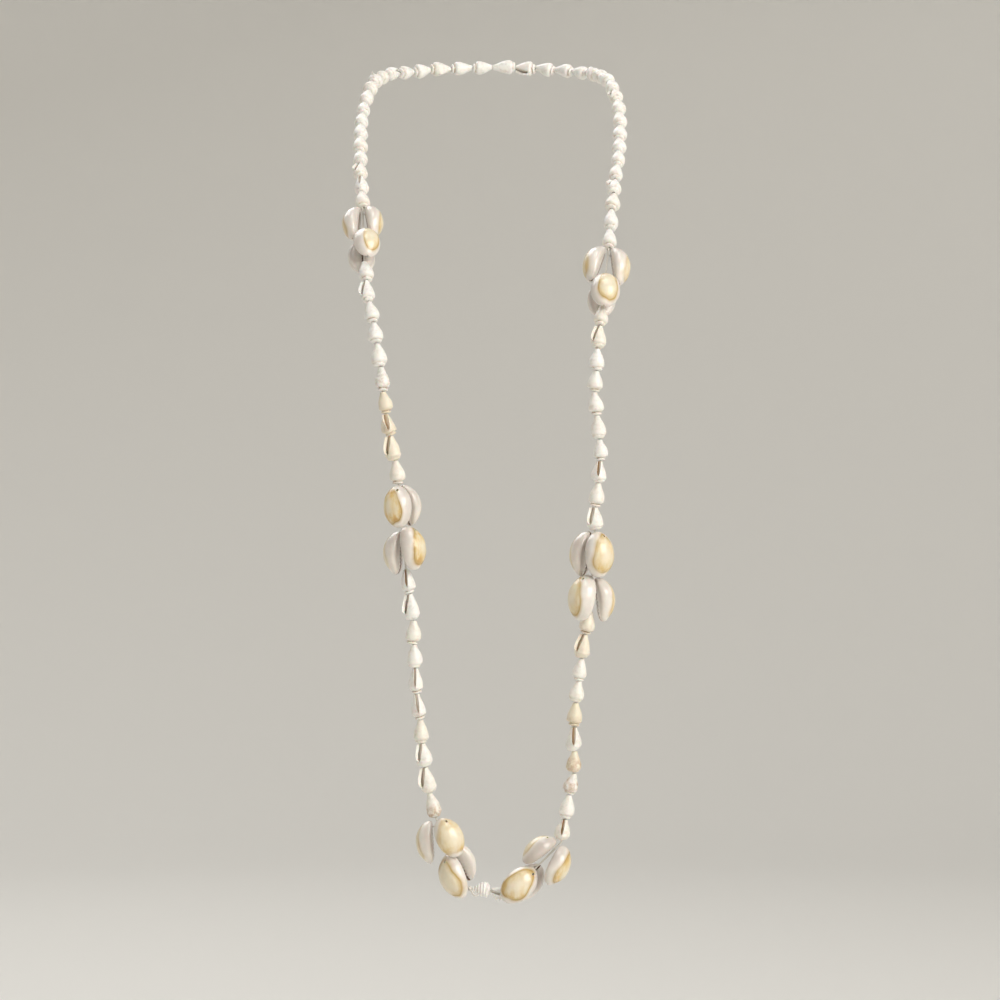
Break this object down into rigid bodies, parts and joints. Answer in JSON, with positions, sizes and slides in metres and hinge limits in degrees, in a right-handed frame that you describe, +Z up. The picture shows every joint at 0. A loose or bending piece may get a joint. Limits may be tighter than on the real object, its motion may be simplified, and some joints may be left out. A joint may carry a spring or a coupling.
{
  "type": "cowrie shell necklace",
  "caption": "Long necklace of small pale shells strung tip to base, with clusters of glossy ring cowries, on one knotted thread loop.",
  "frame": {"origin": "on the thread at the middle of the nape, where the necklace sits on the back of a neck", "axes": "+Z up, -Y towards the front of the wearer, +X to the wearer's left, which is the viewer's right"},
  "size_m": [0.1448, 0.2094, 0.4378],
  "materials": {
    "ring_cowrie": "glossy cream and mauve-grey shell with an ochre ring",
    "small_shell": "bleached white shell, satin and slightly chalky",
    "cotton_thread": "twisted white cotton"
  },
  "bodies": {
    "root": {"cowrie_1a": "ring_cowrie", "cowrie_1b": "ring_cowrie", "cowrie_1c": "ring_cowrie", "cowrie_1d": "ring_cowrie", "cowrie_2a": "ring_cowrie", "cowrie_2b": "ring_cowrie", "cowrie_2c": "ring_cowrie", "cowrie_2d": "ring_cowrie", "cowrie_3a": "ring_cowrie", "cowrie_3b": "ring_cowrie", "cowrie_3c": "ring_cowrie", "cowrie_3d": "ring_cowrie", "cowrie_4a": "ring_cowrie", "cowrie_4b": "ring_cowrie", "cowrie_4c": "ring_cowrie", "cowrie_4d": "ring_cowrie", "cowrie_5a": "ring_cowrie", "cowrie_5b": "ring_cowrie", "cowrie_5c": "ring_cowrie", "cowrie_5d": "ring_cowrie", "cowrie_6a": "ring_cowrie", "cowrie_6b": "ring_cowrie", "cowrie_6c": "ring_cowrie", "cowrie_6d": "ring_cowrie", "small_shells_left": "small_shell", "small_shells_right": "small_shell", "thread": "cotton_thread", "knot": "cotton_thread", "ties": "cotton_thread"}
  },
  "joints": []
}
